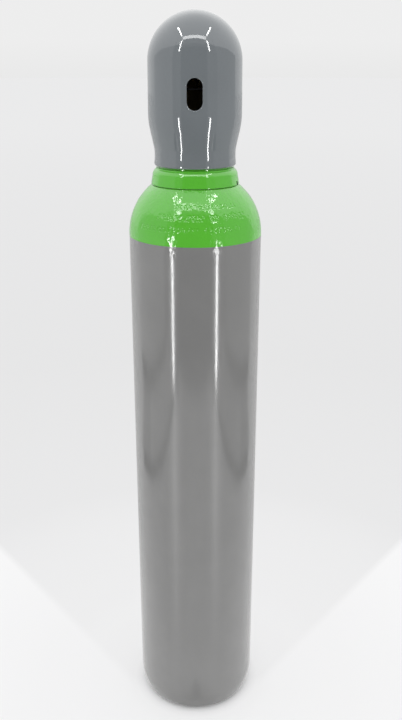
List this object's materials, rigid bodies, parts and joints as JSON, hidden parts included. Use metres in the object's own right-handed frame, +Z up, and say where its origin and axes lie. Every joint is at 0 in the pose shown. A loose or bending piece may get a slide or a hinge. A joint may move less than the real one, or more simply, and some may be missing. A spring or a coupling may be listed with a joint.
{
  "type": "gas cylinder",
  "caption": "Portable high-pressure steel gas cylinder with a green shoulder and neck ring, a screw-on protective cap with vent slots, and a brass handwheel valve inside.",
  "frame": {"origin": "on the floor, at the foot of the cylinder's axis", "axes": "+Z up the cylinder's axis, -Y towards the front vent slot, +X to the right and the way the valve outlet faces"},
  "size_m": [0.1409, 0.141, 0.8104],
  "materials": {
    "body_paint": "glossy mid-grey stoving paint on steel",
    "shoulder_paint": "glossy yellow-green paint with a pebbled texture",
    "cap_paint": "glossy blue-grey paint on pressed steel",
    "valve_brass": "forged and turned brass",
    "plain_steel": "zinc-plated and turned steel",
    "seal_rubber": "satin elastomer",
    "ptfe_white": "waxy white fluoropolymer",
    "seat_plastic": "natural polyamide",
    "wheel_plastic": "moulded satin plastic",
    "disc_plastic": "printed disc"
  },
  "bodies": {
    "cylinder": {"cylinder_shell": "body_paint", "neck_ring": "shoulder_paint", "valve_body": "valve_brass", "stem_seal_tape": "ptfe_white", "anti_debris_tube": "valve_brass", "gland_nut": "valve_brass", "gland_gasket": "ptfe_white", "thrust_washer": "ptfe_white"},
    "cap": {"protective_cap": "cap_paint"},
    "handwheel": {"spindle": "plain_steel", "spindle_o_ring": "seal_rubber", "spindle_backup_ring": "ptfe_white", "handwheel": "wheel_plastic", "handwheel_insert": "plain_steel", "direction_disc": "disc_plastic", "handwheel_spring": "plain_steel", "spring_washer": "plain_steel", "handwheel_nut": "plain_steel"},
    "seat": {"seat_carrier": "valve_brass", "seat_insert": "seat_plastic"}
  },
  "joints": [
    {"name": "cap_lift", "type": "slide", "parent": "cylinder", "child": "cap", "axis": [0, 0, 1], "range_m": [0, 0.2]},
    {"name": "handwheel_turn", "type": "hinge", "parent": "cylinder", "child": "handwheel", "pos_m": [0, 0, 0.75], "axis": [0, 0, 1], "range_deg": [0, 900]},
    {"name": "seat_lift", "type": "slide", "parent": "handwheel", "child": "seat", "axis": [0, 0, 1], "range_m": [0, 0.0038]}
  ],
  "couplings": [
    {"joint": "seat_lift", "follows": "handwheel_turn", "m_per_rad": 0.00023873}
  ]
}
